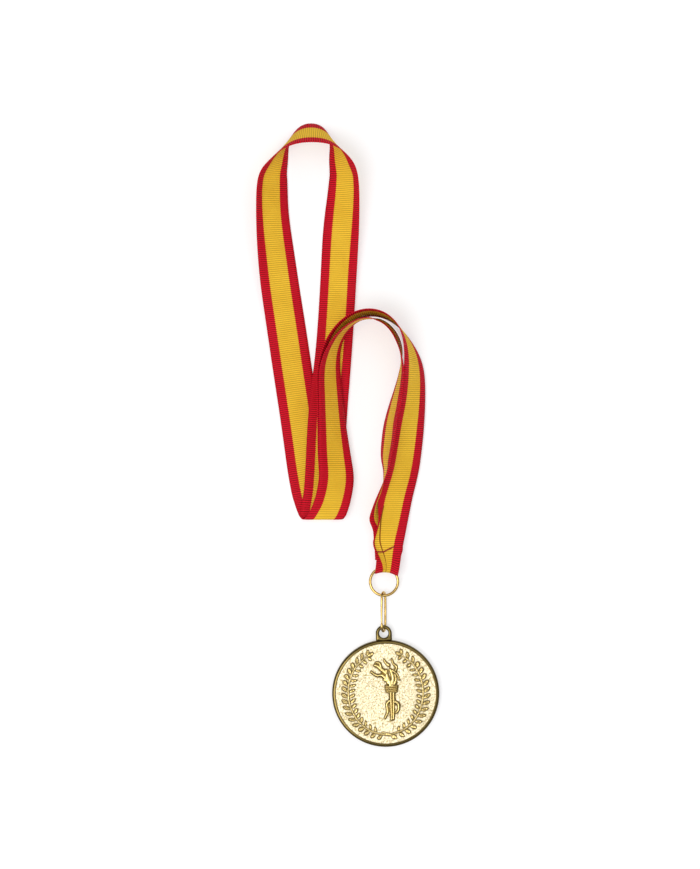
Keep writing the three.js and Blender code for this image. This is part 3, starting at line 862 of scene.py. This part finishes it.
def round_grid(cells, radius):
    """An even square grid pressed round: plan places, and how far out each point is as a share."""
    axis = np.linspace(-1, 1, cells + 1)
    a, b = np.meshgrid(axis, axis, indexing="ij")
    reach = np.maximum(np.abs(a), np.abs(b))
    small = np.minimum(np.abs(a), np.abs(b))
    angle = (math.pi / 4) * small / np.maximum(reach, 1e-9)
    steep = np.abs(b) > np.abs(a)
    x = np.sign(a) * reach * np.where(steep, np.sin(angle), np.cos(angle))
    y = np.sign(b) * reach * np.where(steep, np.cos(angle), np.sin(angle))
    return x * radius, y * radius, reach


def hollows(raised):
    """From 0 to 1, how far each point is in a narrow gap beside raised parts, for painted shade there."""
    blurred = raised
    for _ in range(6):
        blurred = sum(np.roll(blurred, step, axis) for axis in (0, 1) for step in (-1, 1)) / 4
    return smoothstep(0.0, 0.11, blurred - raised)


def rim_profile():
    """From the field outwards, over the crowned rim and under the back: distance past the field's
    edge, and height."""
    profile = [(0.05, FIELD_HEIGHT + 0.36), (0.12, DISC_THICKNESS - 0.04), (0.2, DISC_THICKNESS)]
    bevel = 8
    for i in range(1, bevel + 1):
        share = i / bevel
        profile.append((0.2 + 1.36 * share, DISC_THICKNESS - 0.12 * share - 0.5 * share**4))
    profile += [(1.65, 1.55), (RIM_WIDTH, 1.4), (RIM_WIDTH, 0.34), (RIM_WIDTH - 0.1, 0.1)]
    field_radius = disc_radius - RIM_WIDTH
    return profile + [(RIM_WIDTH - 0.3, 0.0), (-field_radius * 0.35, 0.0), (-field_radius * 0.8, 0.0)]


def disc_mesh():
    """Points and faces of the disc, and from 0 to 1 how far each point is in a hollow of the relief, where the
    material paints shade.
    """
    cells = FIELD_CELLS
    field_radius = disc_radius - RIM_WIDTH
    x, y, reach = round_grid(cells, field_radius)
    raised = np.maximum(wreath(x, y), torch(x, y))
    rng = np.random.default_rng(SEED)
    grain = sand(rng, x.shape, GRAIN_HEIGHT) * smoothstep(1.0, 0.985, reach)
    z = FIELD_HEIGHT + raised + grain * (1 - 0.7 * smoothstep(0, 0.3, raised))
    points = [np.stack([x, y, z], axis=-1).reshape(-1, 3)]
    index = np.arange((cells + 1) ** 2).reshape(cells + 1, cells + 1)
    faces = np.stack([index[:-1, :-1], index[1:, :-1], index[1:, 1:], index[:-1, 1:]], axis=-1)
    faces = faces.reshape(-1, 4).tolist()
    loop = np.concatenate([index[:-1, 0], index[-1, :-1], index[:0:-1, -1], index[0, :0:-1]])
    heading = unit(points[0][loop, :2])
    previous = loop
    start = len(points[0])
    for beyond, height in rim_profile():
        ring = heading * (field_radius + beyond)
        points.append(np.concatenate([ring, np.full((len(loop), 1), height)], axis=1))
        current = start + np.arange(len(loop))
        start += len(loop)
        for j in range(len(loop)):
            k = (j + 1) % len(loop)
            faces.append([previous[j], current[j], current[k], previous[k]])
        previous = current
    points.append(np.zeros((1, 3)))
    faces += [[previous[j], start, previous[(j + 1) % len(loop)]] for j in range(len(loop))]
    points = np.concatenate(points)
    hollow_shade = np.zeros(len(points))
    hollow_shade[:x.size] = hollows(raised).ravel()
    return points, faces, hollow_shade


def tab_mesh():
    """Points and faces of the tab: a flat lug with a round top, a round hole and softened edges."""
    steps = 96
    soft = 0.22
    half = TAB_WIDTH / 2
    foot = HOLE_DISTANCE - (disc_radius - RIM_WIDTH + 0.45)
    turn = np.linspace(0, 2 * math.pi, steps, endpoint=False)
    direction = np.stack([np.cos(turn), np.sin(turn)], axis=1)
    side_hit = half / np.maximum(np.abs(direction[:, 0]), 1e-6)
    foot_hit = foot / np.maximum(-direction[:, 1], 1e-6)
    outer = np.where(direction[:, 1] >= 0, half, np.minimum(side_hit, foot_hit))
    low = (DISC_THICKNESS - TAB_THICKNESS) / 2
    high = low + TAB_THICKNESS
    middle = (HOLE_RADIUS + half) / 2 - HOLE_RADIUS
    hole_wall = [(0, low + soft), (0, high - 0.45), (0.1, high - 0.26), (0.35, high - 0.06)]
    crown = [(middle, high + 0.05)]
    outside = [(-0.4, high - 0.08), (-0.12, high - 0.28), (0, high - 0.5), (0, low + soft)]
    outside += [(-soft * 0.3, low + soft * 0.3), (-soft, low)]
    underside = [(soft, low), (soft * 0.3, low + soft * 0.3)]
    rings = [(HOLE_RADIUS + extra, z) for extra, z in hole_wall + crown]
    rings += [(outer + extra, z) for extra, z in outside]
    rings += [(HOLE_RADIUS + extra, z) for extra, z in underside]
    points = []
    for radius, z in rings:
        flat = direction * np.broadcast_to(radius, turn.shape)[:, None] + np.array([0, HOLE_DISTANCE])
        points.append(np.concatenate([flat, np.full((steps, 1), z)], axis=1))
    return np.concatenate(points), ring_faces(len(rings), steps, closed=True)


def lay_down(points, turn, tilt):
    """Turns a disc that is square to the axes to the way the medal lies."""
    cos, sin = math.cos(turn), math.sin(turn)
    turned = points @ np.array([[cos, sin, 0], [-sin, cos, 0], [0, 0, 1]])
    cos, sin = math.cos(tilt), math.sin(tilt)
    return turned @ np.array([[1, 0, 0], [0, cos, sin], [0, -sin, cos]])


def make_medal():
    """The casting: disc and tab as one mesh, lying and turned as the CAD medal does."""
    mount = next(m for m in frame["record"]["mounts"] if m["name"] == "medal_back")
    swing = next(j for j in frame["joints"] if j["name"] == "medal_swing")
    tilt = math.atan2(mount["axis"][1], -mount["axis"][2])
    turn = math.atan2(swing["axis"][1], swing["axis"][0])
    material = medal_material([-value for value in mount["axis"]])
    points, faces, hollow_shade = disc_mesh()
    disc = make_object("medal_casting", lay_down(points, turn, tilt), faces, material)
    add_attribute(disc, "hollow_shade", hollow_shade)
    points, faces = tab_mesh()
    tab = make_object("tab_blank", lay_down(points, turn, tilt), faces, material)
    for piece in (disc, tab):
        outward_faces(piece)
    join = disc.modifiers.new("join", "BOOLEAN")
    join.operation, join.solver, join.object = "UNION", "MANIFOLD", tab
    bpy.context.view_layer.objects.active = disc
    bpy.ops.object.modifier_apply(modifier="join")
    bpy.data.objects.remove(tab)
    disc.data.shade_smooth()
    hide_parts("medal_disc")
    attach(disc, "medal")


def outward_faces(piece):
    """Turns a closed mesh's faces out if they point in."""
    mesh = piece.data
    mesh.calc_loop_triangles()
    corners = np.array([[mesh.vertices[v].co for v in t.vertices] for t in mesh.loop_triangles])
    volume = np.einsum("ij,ij->i", corners[:, 0], np.cross(corners[:, 1], corners[:, 2])).sum()
    if volume < 0:
        mesh.flip_normals()


# ---- stage --------------------------------------------------------------------------------------

def make_table():
    """A wide plain floor just under the part."""
    height = cad_box[0][2] / MM - TABLE_GAP
    corners = [(x * TABLE_REACH, y * TABLE_REACH, height) for x, y in ((-1, -1), (1, -1), (1, 1), (-1, 1))]
    table = make_object("table", corners, [(0, 1, 2, 3)], table_material())


def make_world():
    """Even light on matt surfaces. Reflections see it bright overhead and dim towards the horizon, as
    between a softbox and the walls of a small studio."""
    world = bpy.data.worlds.new("studio")
    bpy.context.scene.world = world
    world.use_nodes = True
    tree = world.node_tree
    background = tree.nodes["Background"]
    coordinate = tree.nodes.new("ShaderNodeTexCoord")
    split = tree.nodes.new("ShaderNodeSeparateXYZ")
    ramp = tree.nodes.new("ShaderNodeValToRGB")
    rays = tree.nodes.new("ShaderNodeLightPath")
    choice = tree.nodes.new("ShaderNodeMix")
    choice.data_type = "RGBA"
    tree.links.new(coordinate.outputs["Generated"], split.inputs[0])
    tree.links.new(split.outputs["Z"], ramp.inputs["Fac"])
    tree.links.new(rays.outputs["Is Glossy Ray"], choice.inputs[0])
    choice.inputs[6].default_value = SOFT_LIGHT
    tree.links.new(ramp.outputs["Color"], choice.inputs[7])
    tree.links.new(choice.outputs[2], background.inputs["Color"])
    low, high = ramp.color_ramp.elements
    low.position, low.color = DIM_UP_TO, DIM_WALL
    high.position, high.color = BRIGHT_FROM, BRIGHT_CEILING


def area_light(name, offset_mm, size_mm, power):
    """A round lamp that aims at the middle of the part, from a place given relative to it."""
    data = bpy.data.lights.new(name, "AREA")
    data.shape, data.size, data.energy = "DISK", size_mm * MM, power
    light = bpy.data.objects.new(name, data)
    bpy.context.scene.collection.objects.link(light)
    aim = (np.array(cad_box[0]) + np.array(cad_box[1])) / 2
    place = aim + np.array(offset_mm) * MM
    light.location = place.tolist()
    light.rotation_euler = Vector((aim - place).tolist()).to_track_quat("-Z", "Y").to_euler()


def make_camera():
    """Straight above the part, looking down."""
    centre = (np.array(cad_box[0]) + np.array(cad_box[1])) / 2
    data = bpy.data.cameras.new("camera")
    data.sensor_fit = "VERTICAL"
    data.angle = 2 * math.atan(VIEW_HEIGHT / 2 / CAMERA_HEIGHT)
    camera = bpy.data.objects.new("camera", data)
    bpy.context.scene.collection.objects.link(camera)
    camera.location = (centre[0] + CAMERA_SHIFT * MM, centre[1], CAMERA_HEIGHT * MM)
    bpy.context.scene.camera = camera
    bpy.context.scene.view_settings.view_transform = "Standard"


# ---- build --------------------------------------------------------------------------------------

disc_low, disc_high = box_mm("medal_disc")
disc_radius = (disc_high[0] - disc_low[0]) / 2
ring_low, ring_high = box_mm("ring")
ring_centre = (ring_low + ring_high) / 2
ring_wire = (ring_high[2] - ring_low[2]) / 2 / math.cos(math.pi / WIRE_SIDES)
ring_radius = (ring_high[1] - ring_low[1]) / 2 - ring_wire
wrap_y = ring_centre[1] + ring_radius
tail_left_x = ring_centre[0] - RIBBON_WIDTH / 2

wire_gold = wire_material("wire_gold", (0.42, 0.26, 0.07, 1), (0.80, 0.56, 0.20, 1), 0.11)
make_medal()
make_ring(wire_gold)
make_hook(wire_gold)

strip = Strip()
for soft_piece in [make_ribbon(strip), *make_threads(strip)]:
    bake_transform(soft_piece)

make_table()
make_world()
area_light("key", KEY_PLACE, KEY_SIZE, KEY_POWER)
area_light("fill", FILL_PLACE, FILL_SIZE, FILL_POWER)
make_camera()

bpy.context.view_layer.update()
